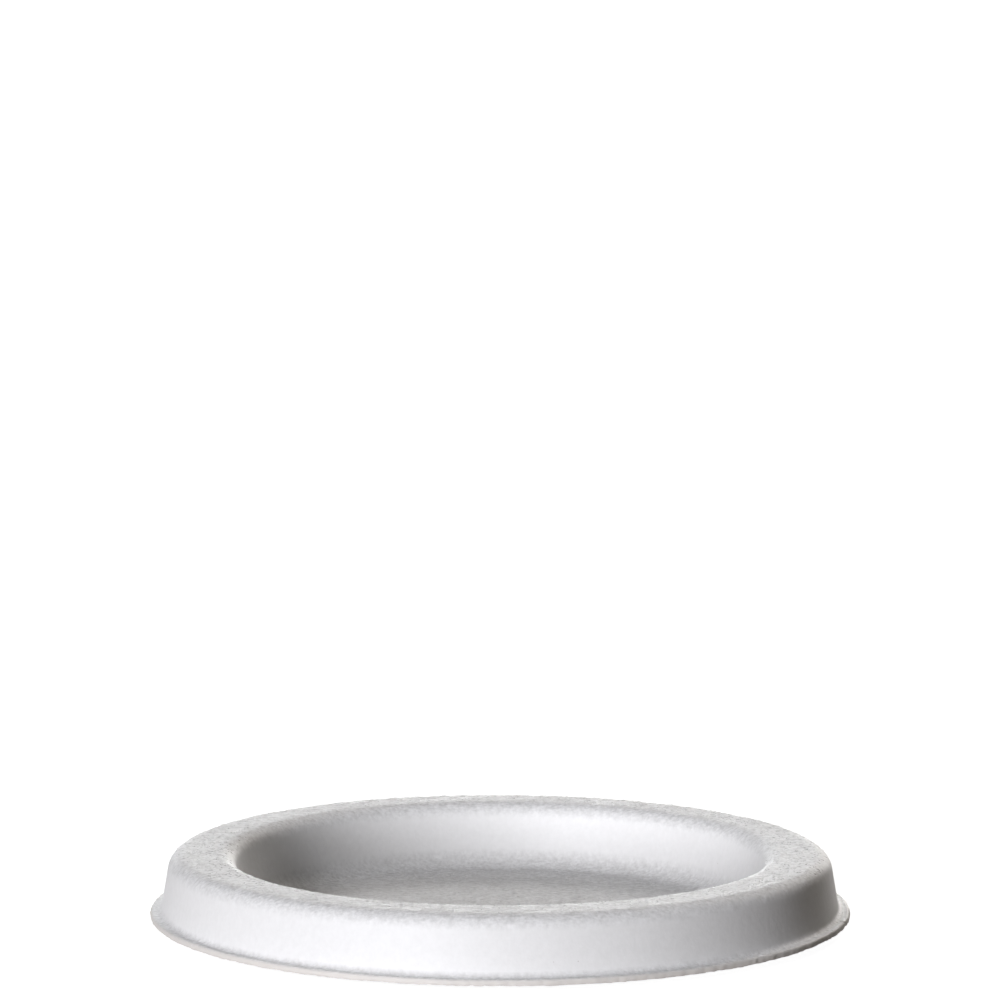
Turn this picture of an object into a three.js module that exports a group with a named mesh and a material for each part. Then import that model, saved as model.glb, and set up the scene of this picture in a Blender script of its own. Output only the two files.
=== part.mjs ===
// A lid for a round portion cup, hot-pressed in one piece from plant-fibre pulp.
// The wall is one even thickness of felted fibre, so the whole lid is one upper face and its offset.
// From the middle outwards it is a flat well floor, a drafted wall up to a flat rim, a skirt that
// comes down over the lip of the cup, and a thin flange where the sheet round the lid was cut away.
// Millimetres and degrees, Z up, with Z = 0 the surface that the well floor lies on.

import * as THREE from "three";

const WALL = 0.65;
const FLANGE_DIAMETER = 78;
const SKIRT_HEIGHT = 6.98; // underside of the flange to the top of the rim
const SKIRT_DIAMETER = 73.46; // outside of the skirt at the level of the rim's top, before rounding
const SKIRT_DRAFT = 9.63;
const WELL_DIAMETER = 59.4; // mouth of the well at the level of the rim's top, before rounding
const WELL_DEPTH = 7.3; // top of the rim to the upper face of the well floor
const WELL_DRAFT = 12;
const RIM_OUTER_RADIUS = 2.0; // the roundings are measured on the upper face
const RIM_INNER_RADIUS = 2.1;
const WELL_FOOT_RADIUS = 2.6;
const SKIRT_ROOT_RADIUS = 0.5;

const TURN_SEGMENTS = 96;
const ARC_STEPS = 4;

const run = (height, draft) => height * Math.tan(THREE.MathUtils.degToRad(draft));

// Heights of the flat faces above the surface that the lid lies on.
const floorTop = WALL;
const rimTop = floorTop + WELL_DEPTH;
const flangeTop = rimTop - SKIRT_HEIGHT + WALL;

// Corners of the upper face from the axis to the cut edge, each with its rounding.
const wellMouth = WELL_DIAMETER / 2;
const skirtMouth = SKIRT_DIAMETER / 2;
const corners = [
  { r: 0, z: floorTop, radius: 0 },
  { r: wellMouth - run(WELL_DEPTH, WELL_DRAFT), z: floorTop, radius: WELL_FOOT_RADIUS },
  { r: wellMouth, z: rimTop, radius: RIM_INNER_RADIUS },
  { r: skirtMouth, z: rimTop, radius: RIM_OUTER_RADIUS },
  { r: skirtMouth + run(rimTop - flangeTop, SKIRT_DRAFT), z: flangeTop, radius: SKIRT_ROOT_RADIUS },
  { r: FLANGE_DIAMETER / 2, z: flangeTop, radius: 0 },
];

// Points along the upper face, each with the unit normal that points up out of the wall there.
// A corner becomes an arc tangent to its two straights, with the normal turning evenly along it.
function roundedFace(face) {
  const points = face.map((corner) => new THREE.Vector2(corner.r, corner.z));
  const headings = points.slice(1).map((point, i) => point.clone().sub(points[i]).normalize());
  const normalOf = (heading) => new THREE.Vector2(-heading.y, heading.x);
  const samples = [{ point: points[0], normal: normalOf(headings[0]) }];
  for (let i = 1; i < points.length - 1; i += 1) {
    const before = headings[i - 1];
    const after = headings[i];
    const turn = Math.atan2(before.cross(after), before.dot(after));
    const side = Math.sign(turn);
    const tangent = face[i].radius * Math.tan(Math.abs(turn) / 2);
    const start = points[i].clone().addScaledVector(before, -tangent);
    const centre = start.clone().addScaledVector(normalOf(before), side * face[i].radius);
    for (let step = 0; step <= ARC_STEPS; step += 1) {
      const heading = before.clone().rotateAround(new THREE.Vector2(), (turn * step) / ARC_STEPS);
      const normal = normalOf(heading);
      samples.push({ point: centre.clone().addScaledVector(normal, -side * face[i].radius), normal });
    }
  }
  samples.push({ point: points.at(-1), normal: normalOf(headings.at(-1)) });
  return samples;
}

// The section is the lower face from the axis to the cut edge, then the upper face back to the axis.
function lidSection() {
  const upper = roundedFace(corners);
  const lower = upper.map(({ point, normal }) => point.clone().addScaledVector(normal, -WALL));
  return [...lower, ...upper.map(({ point }) => point).reverse()];
}

// A lathe turns its section about Y, so the finished turn is stood up on Z.
function lidGeometry() {
  const geometry = new THREE.LatheGeometry(lidSection(), TURN_SEGMENTS);
  return geometry.rotateX(Math.PI / 2);
}

const pulp = new THREE.MeshStandardMaterial({
  name: "moulded_pulp",
  color: 0xe3e0da,
  roughness: 0.9,
  metalness: 0,
});

const lid = new THREE.Mesh(lidGeometry(), pulp);
lid.name = "lid";

const portionCupLid = new THREE.Group();
portionCupLid.add(lid);

export default portionCupLid;
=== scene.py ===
import math

import bpy
import numpy as np
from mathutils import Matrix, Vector


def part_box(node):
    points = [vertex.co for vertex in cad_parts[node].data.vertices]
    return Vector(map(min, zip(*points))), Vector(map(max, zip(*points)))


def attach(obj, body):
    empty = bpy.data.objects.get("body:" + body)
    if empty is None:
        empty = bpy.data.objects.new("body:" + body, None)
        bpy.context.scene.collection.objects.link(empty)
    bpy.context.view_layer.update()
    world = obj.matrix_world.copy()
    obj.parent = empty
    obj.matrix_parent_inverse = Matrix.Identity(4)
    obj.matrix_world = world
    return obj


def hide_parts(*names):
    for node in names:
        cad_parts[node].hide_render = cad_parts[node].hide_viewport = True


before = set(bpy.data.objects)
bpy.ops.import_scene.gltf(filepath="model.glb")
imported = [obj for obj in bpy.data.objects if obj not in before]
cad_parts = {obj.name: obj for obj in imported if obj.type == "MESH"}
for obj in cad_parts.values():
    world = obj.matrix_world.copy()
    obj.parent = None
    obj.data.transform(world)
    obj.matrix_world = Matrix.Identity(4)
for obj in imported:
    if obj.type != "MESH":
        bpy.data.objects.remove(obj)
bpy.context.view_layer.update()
MM = 0.001

# The lid is one shell of plant fibre, felted on a mould and pressed dry between hot tools. Its wall is
# even, so the lower face is the upper one offset. The sheet round it is cut away last from above,
# which leaves a narrow flange with a slightly torn edge, rolled over at its top.
WALL = 0.65 * MM
SKIRT_HEIGHT = 6.98 * MM
SKIRT_MOUTH = 36.73 * MM
SKIRT_DRAFT = math.radians(9.63)
WELL_MOUTH = 29.7 * MM
WELL_DRAFT = math.radians(12)
WELL_FOOT_RADIUS = 2.6 * MM
RIM_INNER_RADIUS = 2.1 * MM
RIM_OUTER_RADIUS = 2.0 * MM
SKIRT_ROOT_RADIUS = 0.75 * MM
CUT_TOP_RADIUS = 0.34 * MM
CUT_LOW_RADIUS = 0.08 * MM

RIM_CELL = 0.24 * MM
SIDE_CELL = 0.46 * MM
FLOOR_CELL = 0.5 * MM
HIDDEN_CELL = 1.0 * MM
CUT_CELL = 0.14 * MM
INNERMOST_RING = 15
MOST_DOUBLINGS = 6

lid_low, lid_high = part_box("lid")
flange_radius = (lid_high[0] - lid_low[0]) / 2
rim_top = lid_high[2]
floor_top = lid_low[2] + WALL
flange_top = rim_top - SKIRT_HEIGHT + WALL
well_foot = WELL_MOUTH - (rim_top - floor_top) * math.tan(WELL_DRAFT)
skirt_foot = SKIRT_MOUTH + (rim_top - flange_top) * math.tan(SKIRT_DRAFT)


def section_corners():
    """Corners (r, z, rounding, cell on the rounding, cell on the straight after it) of the closed
    section: out along the lower face, up the cut edge and back along the upper face. A lower corner
    is its upper one moved by wall*(n1 + n2)/(1 + n1.n2), where n1 and n2 are the unit normals of the
    straights that meet there, and its rounding is wider or tighter by the wall."""
    upper = np.array([
        (0, floor_top, 0, FLOOR_CELL, FLOOR_CELL),
        (well_foot, floor_top, WELL_FOOT_RADIUS, SIDE_CELL, SIDE_CELL),
        (WELL_MOUTH, rim_top, RIM_INNER_RADIUS, RIM_CELL, RIM_CELL),
        (SKIRT_MOUTH, rim_top, RIM_OUTER_RADIUS, RIM_CELL, SIDE_CELL),
        (skirt_foot, flange_top, SKIRT_ROOT_RADIUS, RIM_CELL, RIM_CELL),
        (flange_radius, flange_top, CUT_TOP_RADIUS, CUT_CELL, CUT_CELL),
    ])
    heading = np.diff(upper[:, :2], axis=0)
    heading /= np.linalg.norm(heading, axis=1)[:, None]
    normal = np.column_stack([-heading[:, 1], heading[:, 0]])
    before, after = normal[:-1], normal[1:]
    down = np.array([[0, WALL]])
    mitre = WALL * (before + after) / (1 + np.sum(before * after, axis=1))[:, None]
    lower = upper.copy()
    lower[:, :2] -= np.concatenate([down, mitre, down])
    lower[1:-1, 2] += WALL * np.array([1, -1, -1, 1])
    lower[-1, 2] = CUT_LOW_RADIUS
    lower[:-1, 3:] = HIDDEN_CELL
    lower[-2, 4] = RIM_CELL
    back = upper[::-1].copy()
    back[:-1, 4] = upper[-2::-1, 4]
    return np.concatenate([lower, back])


def rounded_section(corners):
    """Points, outward normals and cell sizes along the section. A rounding of radius a starts
    a*tan(turn/2) before its corner, and its points lie a from a centre on the inner side of the turn
    while the normal swings evenly through it. Straights and roundings are cut into equal steps."""
    place = corners[:, :2]
    heading = np.diff(place, axis=0)
    heading /= np.linalg.norm(heading, axis=1)[:, None]
    before, after = heading[:-1], heading[1:]
    cross = before[:, 0] * after[:, 1] - before[:, 1] * after[:, 0]
    turn = np.arctan2(cross, np.sum(before * after, axis=1))
    angle = math.atan2(heading[0, 1], heading[0, 0]) + np.concatenate([[0], np.cumsum(turn)])
    reach = np.concatenate([[0], corners[1:-1, 2] * np.tan(np.abs(turn) / 2), [0]])[:, None]
    begin = place[1:] - heading * reach[1:]
    start = place[:-1] + heading * reach[:-1]
    rows = []
    for i in range(len(heading)):
        steps = max(1, math.ceil(np.linalg.norm(begin[i] - start[i]) / corners[i, 4]))
        share = np.arange(steps)[:, None] / steps
        straight = start[i] + (begin[i] - start[i]) * share
        tilt = np.full((steps, 1), angle[i])
        rows.append(np.hstack([straight, tilt, np.full((steps, 1), corners[i, 4])]))
        if i == len(turn):
            break
        radius = math.copysign(corners[i + 1, 2], turn[i])
        steps = max(3, math.ceil(abs(radius * turn[i]) / corners[i + 1, 3]))
        along = (angle[i] + turn[i] * np.arange(steps) / steps)[:, None]
        side = radius * np.hstack([-np.sin(along), np.cos(along)])
        centre = begin[i] + side[0]
        rows.append(np.hstack([centre - side, along, np.full((steps, 1), corners[i + 1, 3])]))
    rows.append([[*place[-1], angle[-1], corners[-1, 4]]])
    table = np.concatenate(rows)
    normals = np.column_stack([np.sin(table[:, 2]), -np.cos(table[:, 2])])
    return table[:, :2], normals, table[:, 3]


def ring_counts(radius, cell):
    """Points round each ring: the innermost count, doubled until a step round the ring is no longer
    than the cell, and at most double that of the ring beside it."""
    needed = 2 * math.pi * radius / (cell * INNERMOST_RING)
    doublings = np.clip(np.ceil(np.log2(np.maximum(needed, 1))), 0, MOST_DOUBLINGS).astype(int)
    for _ in range(MOST_DOUBLINGS):
        doublings[1:] = np.minimum(doublings[1:], doublings[:-1] + 1)
        doublings[:-1] = np.minimum(doublings[:-1], doublings[1:] + 1)
    return INNERMOST_RING * 2**doublings


def ring_faces(first, first_count, second, second_count):
    """Triangles between two rings, given each one's first vertex. Equal rings take two for each step,
    and a ring of double count takes three for each step of the coarser one."""
    j = np.arange(min(first_count, second_count))
    k = (j + 1) % len(j)
    if first_count == second_count:
        lower = np.column_stack([first + j, first + k, second + k])
        return np.concatenate([lower, np.column_stack([first + j, second + k, second + j])])
    coarse, fine = (first, second) if first_count < second_count else (second, first)
    middle, last = fine + 2 * j + 1, fine + 2 * k
    faces = np.concatenate([
        np.column_stack([coarse + j, middle, fine + 2 * j]),
        np.column_stack([coarse + j, coarse + k, middle]),
        np.column_stack([coarse + k, last, middle]),
    ])
    return faces if coarse == first else faces[:, ::-1]


def turned(points, normals, cells):
    """The section turned about Z: one ring for each of its points, and a fan to each of its two ends
    on the axis. Gives the vertices, their normals and the triangles, which face out."""
    counts = ring_counts(points[1:-1, 0], cells[1:-1])
    starts = 1 + np.concatenate([[0], np.cumsum(counts)])
    ring = np.repeat(np.arange(len(counts)), counts) + 1
    step = np.arange(len(ring)) - np.repeat(starts[:-1] - 1, counts)
    around = 2 * math.pi * step / np.repeat(counts, counts)
    spin = np.column_stack([np.cos(around), np.sin(around)])
    vertices = np.column_stack([spin * points[ring, :1], points[ring, 1]])
    directions = np.column_stack([spin * normals[ring, :1], normals[ring, 1]])
    ends = np.column_stack([np.zeros((2, 2)), points[[0, -1], 1]])
    end_directions = np.array([[0, 0, -1], [0, 0, 1]])
    vertices = np.concatenate([ends[:1], vertices, ends[1:]])
    directions = np.concatenate([end_directions[:1], directions, end_directions[1:]])
    j = np.arange(counts[0])
    k = (j + 1) % counts[0]
    last = starts[-2]
    faces = [np.column_stack([np.zeros_like(j), 1 + k, 1 + j])]
    for i in range(len(counts) - 1):
        faces.append(ring_faces(starts[i], counts[i], starts[i + 1], counts[i + 1]))
    j = np.arange(counts[-1])
    k = (j + 1) % counts[-1]
    faces.append(np.column_stack([last + j, last + k, np.full_like(j, starts[-1])]))
    return vertices, directions, np.concatenate(faces)


HASH_X, HASH_Y, HASH_Z = 374761393, 668265263, 1440662683
HASH_SEED, HASH_AGAIN = 1274126177, 1103515245
HASH_BITS = 0xFFFFFFFF
VALUE_BITS = 0xFFFF


def random_field(points, period, seed):
    """Smooth noise from -1 to 1: each corner of a lattice of the given period has a hashed value, and
    inside a cell the eight are blended along each axis by the curve 3t^2 - 2t^3."""
    scaled = points / np.asarray(period)
    corner = np.floor(scaled).astype(np.int64)
    t = scaled - corner
    t = t * t * (3 - 2 * t)
    total = np.zeros(len(points))
    for offset in np.ndindex(2, 2, 2):
        x, y, z = (corner + offset).T
        mixed = (x * HASH_X + y * HASH_Y + z * HASH_Z + seed * HASH_SEED) & HASH_BITS
        mixed = ((mixed ^ (mixed >> 13)) * HASH_AGAIN) & HASH_BITS
        value = ((mixed ^ (mixed >> 16)) & VALUE_BITS) / (VALUE_BITS / 2) - 1
        total += value * np.prod(np.where(offset, t, 1 - t), axis=1)
    return total


def lying_fibres(points, length, width, seed):
    """Fibres that lie crossed: noise stretched along four directions of the plane, of which the
    highest shows at each point."""
    layers = []
    for i, turn in enumerate(FELT_TURNS):
        along = points[:, 0] * math.cos(turn) + points[:, 1] * math.sin(turn)
        across = points[:, 1] * math.cos(turn) - points[:, 0] * math.sin(turn)
        turned_points = np.column_stack([along, across, points[:, 2]])
        layers.append(random_field(turned_points, (length, width, length), seed + i))
    return np.max(layers, axis=0)


FELT_HEIGHT = 0.055 * MM
FELT_LENGTH, FELT_WIDTH = 1.2 * MM, 0.5 * MM
FELT_TURNS = np.radians([12, 58, 103, 149])
FELT_MIDDLE = 0.42
FLANGE_SHARE = 0.4  # of the felt's relief, and of its loose fibres, on the flange
DRAWN_HEIGHT = 0.003 * MM
DRAWN_LENGTH, DRAWN_WIDTH = 1.8 * MM, 0.9 * MM
SWELL_HEIGHT = 0.03 * MM
SWELL_PERIOD = 9 * MM
SAG = 0.16 * MM
SAG_TOWARDS = math.radians(35)
SAG_FADE = 8  # how fast the sag fades from the well's mouth inwards
CUT_WANDER = 0.05 * MM
CUT_WANDER_PERIOD = 12 * MM
TEAR_DEPTH = 0.07 * MM
TEAR_PERIOD = 0.5 * MM
FELT_SEED, DRAWN_SEED, SWELL_SEED = 11, 31, 41
WANDER_SEED, TEAR_SEED, BURR_SEED = 51, 61, 71


def felt_height(points, steep):
    """How far the felt stands off the smooth shell: crossed fibres on the flats, lower ones on the
    flange, fibres drawn upright on the steep walls and a slow swell everywhere."""
    lying = lying_fibres(points, FELT_LENGTH, FELT_WIDTH, FELT_SEED) - FELT_MIDDLE
    lying *= np.where(np.hypot(points[:, 0], points[:, 1]) > skirt_foot, FLANGE_SHARE, 1)
    drawn = random_field(points, (DRAWN_WIDTH, DRAWN_WIDTH, DRAWN_LENGTH), DRAWN_SEED)
    swell = random_field(points, SWELL_PERIOD, SWELL_SEED)
    return FELT_HEIGHT * lying * (1 - steep) + DRAWN_HEIGHT * drawn * steep + SWELL_HEIGHT * swell


def felted(vertices, normals):
    """Lifts the smooth shell along its normals by the height of the felt. Near the cut edge a wander
    and a tear that follow the edge round move it in and out, and a burr moves its lower corner up and
    down. Nothing sinks below the surface that the lid lies on."""
    height = felt_height(vertices, 1 - np.abs(normals[:, 2]))
    lifted = vertices + normals * height[:, None]
    radius = np.hypot(vertices[:, 0], vertices[:, 1])
    edge = np.clip((radius - (flange_radius - WALL)) / WALL, 0, 1) ** 2
    outward = vertices[:, :2] / np.maximum(radius, MM)[:, None]
    wander = CUT_WANDER * random_field(vertices, CUT_WANDER_PERIOD, WANDER_SEED)
    tear = TEAR_DEPTH * random_field(vertices, (TEAR_PERIOD, TEAR_PERIOD, WALL), TEAR_SEED)
    lifted[:, :2] += outward * ((wander + tear) * edge)[:, None]
    burr = TEAR_DEPTH * random_field(vertices, TEAR_PERIOD, BURR_SEED)
    low = np.clip((flange_top - vertices[:, 2]) / WALL, 0, 1)
    lifted[:, 2] += burr * edge * low
    lifted[:, 2] = np.maximum(lifted[:, 2], lid_low[2])
    return sagged(lifted)


def sagged(points):
    """The rim has dried a little out of true: it lies lower towards one side, by the sag times
    ((1 + cos(angle from that side)) / 2)^2 and times the share of the height above the flange."""
    towards = np.cos(np.arctan2(points[:, 1], points[:, 0]) - SAG_TOWARDS)
    share = np.clip((points[:, 2] - flange_top) / (rim_top - flange_top), 0, 1)
    share *= np.clip(np.hypot(points[:, 0], points[:, 1]) / WELL_MOUTH, 0, 1) ** SAG_FADE
    lowered = points.copy()
    lowered[:, 2] -= SAG * share * ((1 + towards) / 2) ** 2
    return lowered


def make_mesh(name, vertices, faces):
    """A smooth-shaded mesh object of triangles at the origin."""
    mesh = bpy.data.meshes.new(name)
    mesh.from_pydata(vertices.tolist(), [], faces.tolist())
    mesh.polygons.foreach_set("use_smooth", np.ones(len(faces), dtype=bool))
    mesh.update()
    made = bpy.data.objects.new(name, mesh)
    bpy.context.scene.collection.objects.link(made)
    return made


section, section_normals, section_cells = rounded_section(section_corners())
shell, shell_normals, shell_faces = turned(section, section_normals, section_cells)
lid = make_mesh("pulp_lid", felted(shell, shell_normals), shell_faces)

# The material reads two shares from the mesh: how steep the smooth shell is, where 1 is as steep as
# the well's wall or more, and how near a point lies to the cut edge, where 1 is on it, which places the
# cut edge's painted shade.
steepness = lid.data.attributes.new("steep", "FLOAT", "POINT")
wall_steepness = 1 - math.sin(WELL_DRAFT)
steepness.data.foreach_set("value", np.clip((1 - np.abs(shell_normals[:, 2])) / wall_steepness, 0, 1))
cut = lid.data.attributes.new("cut", "FLOAT", "POINT")
shell_radius = np.hypot(shell[:, 0], shell[:, 1])
cut.data.foreach_set("value", np.clip(1 - (flange_radius - shell_radius) / CUT_TOP_RADIUS, 0, 1))

MIXED_COLOUR = 2  # the colour among a Mix node's outputs


class Signal:
    """A socket of a shader tree that is added, subtracted and multiplied like a number."""

    def __init__(self, socket):
        self.socket = socket

    @staticmethod
    def node(tree, kind, settings=None, inputs=None, output=0):
        """Any node: first its settings, then its sockets' values or links."""
        made = tree.nodes.new(kind)
        for name, value in (settings or {}).items():
            setattr(made, name, value)
        for name, value in (inputs or {}).items():
            if isinstance(value, Signal):
                tree.links.new(value.socket, made.inputs[name])
            else:
                made.inputs[name].default_value = value
        return Signal(made.outputs[output]) if made.outputs else None

    def tinted(self, colour, factor):
        """This colour mixed with another, which a factor of 1 gives alone."""
        tree = self.socket.node.id_data
        inputs = {"Factor": factor, "A": self, "B": colour}
        return Signal.node(tree, "ShaderNodeMix", {"data_type": "RGBA"}, inputs, MIXED_COLOUR)

    def math(self, operation, first, second):
        tree = self.socket.node.id_data
        return Signal.node(tree, "ShaderNodeMath", {"operation": operation}, {0: first, 1: second})

    def __add__(self, other):
        return self.math("ADD", self, other)

    def __sub__(self, other):
        return self.math("SUBTRACT", self, other)

    def __rsub__(self, other):
        return self.math("SUBTRACT", other, self)

    def __mul__(self, other):
        return self.math("MULTIPLY", self, other)

    def above(self, other):
        return self.math("MAXIMUM", self, other)

    __radd__ = __add__
    __rmul__ = __mul__


# Ends of the pulp's colour mix. The mix carries the slow tone of thin and thick felt and also the
# painted shade and light of the grain.
PULP_LIGHT = (0.955, 0.952, 0.946, 1)
PULP_DARK = (0.665, 0.658, 0.646, 1)
FIBRE_MIDDLE = 0.55
# Strength of the painted shade in the felt's pits and of the painted light on its fibre tops, on the
# flats and on the walls.
PIT_SHADE_ON_FLATS = 5.0
PIT_SHADE_ON_WALLS = 0.4
CLOUD_DEPTH = 0.08
# Painted warm shade on the cut edge: darker and warmer than the pulp, standing in for shade and for
# warm light bounced up from the floor.
CUT_EDGE_SHADE = (0.7, 0.665, 0.625, 1)
FLECK_COLOUR = (0.42, 0.38, 0.34, 1)
FLECK_CELL = 3.5 * MM
FLECK_REACH = 0.022
FLECK_STRENGTH = 0.4
FIBRE_WIDTH = 0.3 * MM
FIBRE_STRETCH = 0.22
FIBRE_TURNS = 0, 0.8, 1.6, 2.4  # radians
FIBRE_SHARE = 0.6  # of the relief, the rest being plain grain
UPRIGHT_WIDTH = 2 * FIBRE_WIDTH
UPRIGHT_STRETCH = 0.75
GRAIN_WIDTH = 1.4 * FIBRE_WIDTH
CLOUD_PERIOD = 7 * MM
WALL_SMOOTHNESS = 0.6
BUMP_HEIGHT = 0.07 * MM
PULP_ROUGHNESS = 0.58
PULP_SPECULAR = 0.5


def pulp_material():
    """Off-white felt. Crossed fibres on the flats give way to upright ones on the steep walls. They
    drive the bump, and the colour carries painted shade in the pits between them and painted light on
    their tops, strongest on the open felt of the flats where light rakes. Clouds of thin and thick felt
    vary the colour slowly, a few flecks of bark lie in it, and the cut edge has painted warm shade."""
    material = bpy.data.materials.new("moulded_pulp")
    material.use_nodes = True
    tree = material.node_tree
    tree.nodes.clear()
    place = Signal.node(tree, "ShaderNodeTexCoord", output="Object")
    steep = Signal.node(tree, "ShaderNodeAttribute", {"attribute_name": "steep"}, output="Fac")

    def cloud(period, detail=2.0, scale=(1, 1, 1), turn=0.0, roughness=0.5):
        turned_place = Signal.node(
            tree, "ShaderNodeMapping", None, {"Vector": place, "Rotation": (0, 0, turn), "Scale": scale}
        )
        inputs = {"Vector": turned_place, "Scale": 1 / period, "Detail": detail, "Roughness": roughness}
        return Signal.node(tree, "ShaderNodeTexNoise", None, inputs)

    layers = [cloud(FIBRE_WIDTH, scale=(FIBRE_STRETCH, 1, 1), turn=turn) for turn in FIBRE_TURNS]
    lying = layers[0].above(layers[1]).above(layers[2]).above(layers[3])
    upright = cloud(UPRIGHT_WIDTH, scale=(1, 1, UPRIGHT_STRETCH))
    grain = cloud(GRAIN_WIDTH, detail=3.0, roughness=0.6)
    fibre = (lying * (1 - steep) + upright * steep) * FIBRE_SHARE + grain * (1 - FIBRE_SHARE)
    relief = fibre * (1 - steep * WALL_SMOOTHNESS)
    thickness = cloud(CLOUD_PERIOD, detail=4.0, roughness=0.6)
    # Painted shade in the pits between the fibres and painted light on their tops, strongest on the
    # flats where light rakes.
    painted_grain_shading = (fibre - FIBRE_MIDDLE) * (PIT_SHADE_ON_FLATS - steep * (PIT_SHADE_ON_FLATS - PIT_SHADE_ON_WALLS))
    tone_and_grain_shading = painted_grain_shading + thickness * CLOUD_DEPTH + (0.5 - 0.5 * CLOUD_DEPTH)
    inputs = {"Factor": tone_and_grain_shading, "A": PULP_DARK, "B": PULP_LIGHT}
    pulp = Signal.node(tree, "ShaderNodeMix", {"data_type": "RGBA"}, inputs, MIXED_COLOUR)
    # The cut edge takes painted warm shade, mixed in by nearness to the edge.
    cut = Signal.node(tree, "ShaderNodeAttribute", {"attribute_name": "cut"}, output="Fac")
    flecked_surface(tree, pulp.tinted(CUT_EDGE_SHADE, cut), relief, place)
    return material


def flecked_surface(tree, pulp, relief, place):
    """The shader itself: flecks laid over the pulp's colour, and the relief as its bump."""
    inputs = {"Vector": place, "Scale": 1 / FLECK_CELL}
    distance = Signal.node(tree, "ShaderNodeTexVoronoi", {"feature": "F1"}, inputs, "Distance")
    fleck = distance.math("LESS_THAN", distance, FLECK_REACH) * FLECK_STRENGTH
    inputs = {"Strength": 1.0, "Distance": BUMP_HEIGHT, "Height": relief}
    bump = Signal.node(tree, "ShaderNodeBump", None, inputs)
    inputs = {
        "Base Color": pulp.tinted(FLECK_COLOUR, fleck),
        "Roughness": PULP_ROUGHNESS,
        "Specular IOR Level": PULP_SPECULAR,
        "Normal": bump,
    }
    shader = Signal.node(tree, "ShaderNodeBsdfPrincipled", None, inputs)
    Signal.node(tree, "ShaderNodeOutputMaterial", None, {"Surface": shader})


pulp = pulp_material()
lid.data.materials.append(pulp)
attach(lid, "root")
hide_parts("lid")

# Loose fibres lie over the felt and stand a little off it. They are left on the rim and on the well
# floor, which the tools press lightly, more thinly on the flange, and rubbed off the drafted walls.
LOOSE_COUNT = 10500
LOOSE_LENGTH = 0.2 * MM, 0.7 * MM
LOOSE_RADIUS = 0.014 * MM, 0.028 * MM
LOOSE_CURL = 0.9  # greatest turn of a fibre, in radians
LOOSE_BOW = 0.03 * MM
LOOSE_RISE = 0.09 * MM
LOOSE_RARITY = 4  # how few tips stand up
LOOSE_FALL_OFF = 6  # how fast they thin out as the face steepens
LOOSE_SEED = 23
STATIONS = 5
SIDES = 3

cut_edge = np.argmax(section[:, 0])
upper_face = section[:cut_edge:-1]
upper_normals = section_normals[:cut_edge:-1]
upper_along = np.concatenate([[0], np.cumsum(np.linalg.norm(np.diff(upper_face, axis=0), axis=1))])


def on_upper_face(along, around):
    """Places and normals of the upper face: the section read at a distance along it from the axis,
    then turned round Z by an angle."""
    radius, height = (np.interp(along, upper_along, upper_face[:, i]) for i in (0, 1))
    out, up = (np.interp(along, upper_along, upper_normals[:, i]) for i in (0, 1))
    spin = np.stack([np.cos(around), np.sin(around)], axis=-1)
    places = np.concatenate([spin * radius[..., None], height[..., None]], axis=-1)
    return places, np.concatenate([spin * out[..., None], up[..., None]], axis=-1)


def loose_places(random):
    """Where each fibre starts: a distance along the section, drawn by area and by how thick the
    fibres lie there, and an angle round Z."""
    middle = (upper_along[1:] + upper_along[:-1]) / 2
    flat = np.abs(np.interp(middle, upper_along, upper_normals[:, 1]))
    radius = np.interp(middle, upper_along, upper_face[:, 0])
    thickly = flat**LOOSE_FALL_OFF * np.where(radius > skirt_foot, FLANGE_SHARE, 1)
    share = np.cumsum(radius * np.diff(upper_along) * thickly)
    along = np.interp(random.random(LOOSE_COUNT), share / share[-1], upper_along[1:])
    return along, random.random(LOOSE_COUNT) * 2 * math.pi


def loose_paths(random):
    """Middle lines of the fibres with the face's normals under them. A fibre sets off in any
    direction and turns evenly. Its height over the felt is bow*4u(1-u) + rise*u^3, where u goes from
    0 at its root to 1 at its tip, so that a few tips stand up."""
    along, around = loose_places(random)
    length = random.uniform(*LOOSE_LENGTH, LOOSE_COUNT)
    heading = random.random(LOOSE_COUNT) * 2 * math.pi
    curl = random.uniform(-LOOSE_CURL, LOOSE_CURL, LOOSE_COUNT)
    u = np.linspace(0, 1, STATIONS)
    angle = heading[:, None] + curl[:, None] * u
    step = length[:, None] * np.diff(u, prepend=0)
    radius = np.maximum(np.interp(along, upper_along, upper_face[:, 0]), MM)
    along = along[:, None] + np.cumsum(step * np.cos(angle), axis=1)
    around = around[:, None] + np.cumsum(step * np.sin(angle), axis=1) / radius[:, None]
    places, normals = on_upper_face(np.clip(along, 0, upper_along[-1]), around)
    bow = LOOSE_BOW * random.random(LOOSE_COUNT)[:, None]
    rise = LOOSE_RISE * random.random(LOOSE_COUNT)[:, None] ** LOOSE_RARITY
    felt = felt_height(places.reshape(-1, 3), 1 - np.abs(normals[..., 2].ravel()))
    height = felt.reshape(len(places), STATIONS) + bow * 4 * u * (1 - u) + rise * u**3
    lifted = (places + normals * height[..., None]).reshape(-1, 3)
    return sagged(lifted).reshape(places.shape), normals


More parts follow.
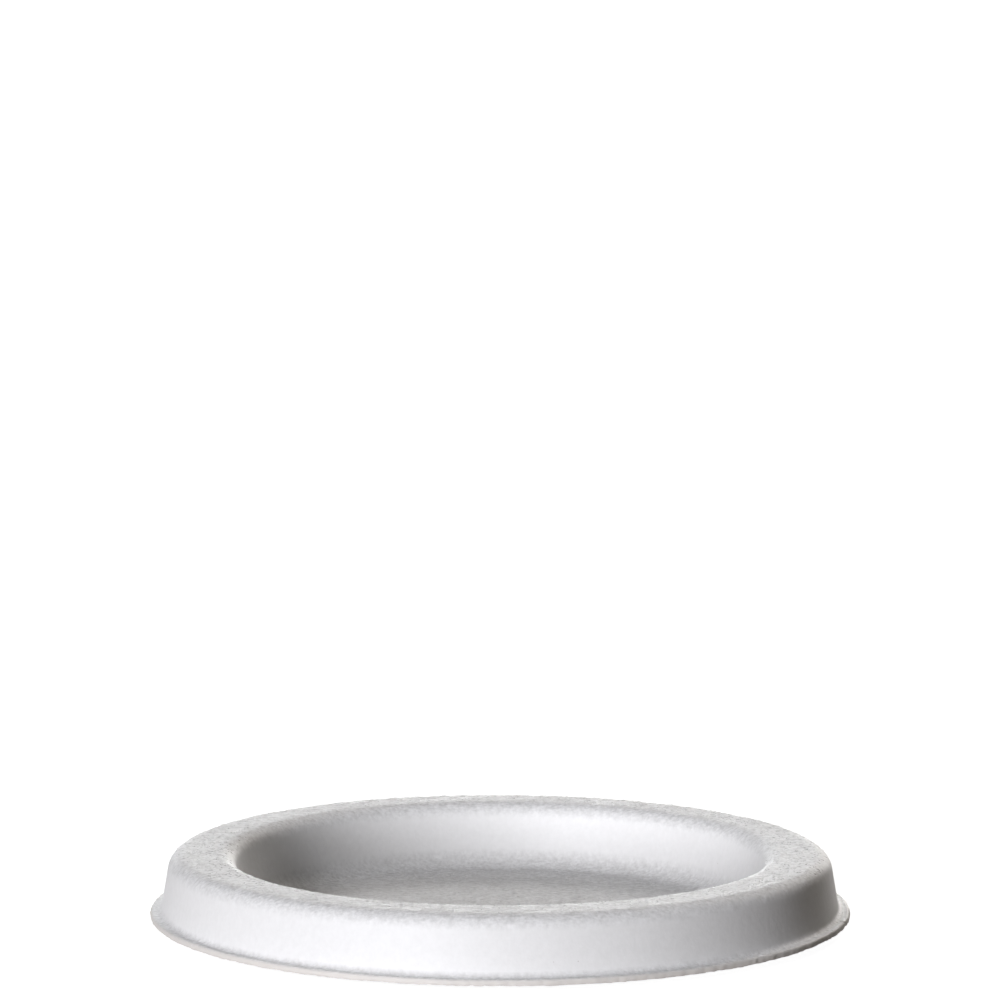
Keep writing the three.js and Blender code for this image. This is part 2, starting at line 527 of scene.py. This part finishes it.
def loose_mesh():
    """A closed tapered thread along each path: a point at each end, and between them rings of a few
    vertices whose radius is thickness*sqrt(4u(1-u))."""
    random = np.random.default_rng(LOOSE_SEED)
    path, normals = loose_paths(random)
    tangent = np.gradient(path, axis=1)
    tangent /= np.linalg.norm(tangent, axis=2, keepdims=True)
    side = np.cross(normals, tangent)
    side /= np.linalg.norm(side, axis=2, keepdims=True)
    over = np.cross(tangent, side)
    u = np.linspace(0, 1, STATIONS)[1:-1]
    thickness = random.uniform(*LOOSE_RADIUS, LOOSE_COUNT)[:, None] * np.sqrt(4 * u * (1 - u))
    turn = 2 * math.pi * np.arange(SIDES) / SIDES
    rings = path[:, 1:-1, None] + thickness[..., None, None] * (
        side[:, 1:-1, None] * np.cos(turn)[:, None] + over[:, 1:-1, None] * np.sin(turn)[:, None]
    )
    vertices = np.concatenate([path[:, :1], rings.reshape(LOOSE_COUNT, -1, 3), path[:, -1:]], axis=1)
    j = np.arange(SIDES)
    k = (j + 1) % SIDES
    last = vertices.shape[1] - 1
    faces = [np.column_stack([0 * j, 1 + k, 1 + j])]
    for first in range(1, last - SIDES, SIDES):
        faces.append(np.column_stack([first + j, first + k, first + SIDES + k]))
        faces.append(np.column_stack([first + j, first + SIDES + k, first + SIDES + j]))
    faces.append(np.column_stack([last - SIDES + j, last - SIDES + k, 0 * j + last]))
    faces = np.concatenate(faces) + np.arange(LOOSE_COUNT)[:, None, None] * (last + 1)
    return vertices.reshape(-1, 3), faces.reshape(-1, 3)


loose = make_mesh("loose_fibres", *loose_mesh())
loose.data.materials.append(pulp)
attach(loose, "root")

# The floor is a plain pale sheet. To the camera it is lit up to white by a share of its own light, and
# the rest of its brightness comes from the lamps, so it keeps the lid's shadow.
FLOOR_HALF = 30.0
FLOOR_BOUNCE = (0.12, 0.09, 0.065, 1)
FLOOR_SEEN = (0.45, 0.45, 0.45, 1)
FLOOR_GLOW = 0.95


def floor_material():
    """Pale sheet: diffuse to the light that bounces, and diffuse plus a glow to camera, glossy and
    transmission rays."""
    material = bpy.data.materials.new("pale_floor")
    material.use_nodes = True
    tree = material.node_tree
    tree.nodes.clear()
    rays = [
        Signal.node(tree, "ShaderNodeLightPath", output=kind)
        for kind in ("Is Camera Ray", "Is Glossy Ray", "Is Transmission Ray")
    ]
    seen = rays[0].above(rays[1]).above(rays[2])
    bounce = Signal.node(tree, "ShaderNodeBsdfDiffuse", None, {"Color": FLOOR_BOUNCE})
    shown = Signal.node(tree, "ShaderNodeBsdfDiffuse", None, {"Color": FLOOR_SEEN})
    glow = Signal.node(tree, "ShaderNodeEmission", None, {"Strength": FLOOR_GLOW})
    lit = Signal.node(tree, "ShaderNodeAddShader", None, {0: shown, 1: glow})
    surface = Signal.node(tree, "ShaderNodeMixShader", None, {0: seen, 1: bounce, 2: lit})
    Signal.node(tree, "ShaderNodeOutputMaterial", None, {"Surface": surface})
    return material


corner = FLOOR_HALF * np.array([[-1, -1, 0], [1, -1, 0], [1, 1, 0], [-1, 1, 0]])
floor = make_mesh("floor", corner, np.array([[0, 1, 2], [0, 2, 3]]))
floor.data.materials.append(floor_material())

# The light is a cool softbox in front on the left that reaches down to the floor, a long low one
# behind that rakes the flats and brings out the grain, a weaker one above it, and a warm one behind
# on the right. Each is one or more suns, each as wide as its share of the box.
SURROUND = (0.01, 0.0095, 0.009, 1)
SOFTBOXES = [
    ("key_high", -32, 20, 12, 1.77, (0.955, 0.955, 1.0)),
    ("key_low", -27, 4, 12, 2.2, (0.945, 0.955, 1.0)),
    ("side", 152, 26, 16, 0.6, (1.0, 0.93, 0.86)),
    ("back_right", 164, 4, 14, 0.8, (1.0, 0.98, 0.97)),
    ("back_middle", 177, 4, 14, 0.64, (0.98, 1.0, 1.0)),
    ("back_left", 190, 4, 14, 0.56, (0.98, 1.0, 1.0)),
    ("back_high", 180, 26, 14, 0.4, (0.98, 0.99, 1.0)),
    ("back_top", 150, 45, 14, 0.36, (1.0, 0.96, 0.92)),
]


def sun(name, azimuth, elevation, width, strength, colour):
    """A distant lamp seen from the lid at an azimuth from the camera's side, turning to the right."""
    lamp = bpy.data.lights.new(name, "SUN")
    lamp.energy, lamp.angle, lamp.color = strength, math.radians(width), colour
    lamp_object = bpy.data.objects.new(name, lamp)
    turn, lift = math.radians(azimuth), math.radians(elevation)
    towards = (math.sin(turn) * math.cos(lift), -math.cos(turn) * math.cos(lift), math.sin(lift))
    lamp_object.rotation_euler = Vector(towards).to_track_quat("Z", "Y").to_euler()
    bpy.context.scene.collection.objects.link(lamp_object)


for softbox in SOFTBOXES:
    sun(*softbox)

world = bpy.data.worlds.new("surround")
bpy.context.scene.world = world
world.use_nodes = True
sky = world.node_tree
sky.nodes.clear()
seen = Signal.node(sky, "ShaderNodeLightPath", output="Is Camera Ray")
dim = Signal.node(sky, "ShaderNodeBackground", None, {"Color": SURROUND})
white = Signal.node(sky, "ShaderNodeBackground", None, {"Color": (1, 1, 1, 1)})
surround = Signal.node(sky, "ShaderNodeMixShader", None, {0: seen, 1: dim, 2: white})
Signal.node(sky, "ShaderNodeOutputWorld", None, {"Surface": surround})
bpy.context.scene.view_settings.view_transform = "Standard"

# The camera is the photograph's: in front of the lid and a little above it, with a long lens, so that
# the lid lies low in the picture.
CAMERA_BACK = 537.75 * MM
CAMERA_UP = 109.55 * MM  # above the underside of the flange
CAMERA_DIP = 0.1171
CAMERA_LENS = 176.09
CAMERA_SENSOR = 36

camera_data = bpy.data.cameras.new("camera")
camera_data.lens = CAMERA_LENS
camera_data.sensor_width = CAMERA_SENSOR
camera = bpy.data.objects.new("camera", camera_data)
camera.location = (0, -CAMERA_BACK, CAMERA_UP + flange_top - WALL)
camera.rotation_euler = (math.pi / 2 - CAMERA_DIP, 0, 0)
bpy.context.scene.collection.objects.link(camera)
bpy.context.scene.camera = camera
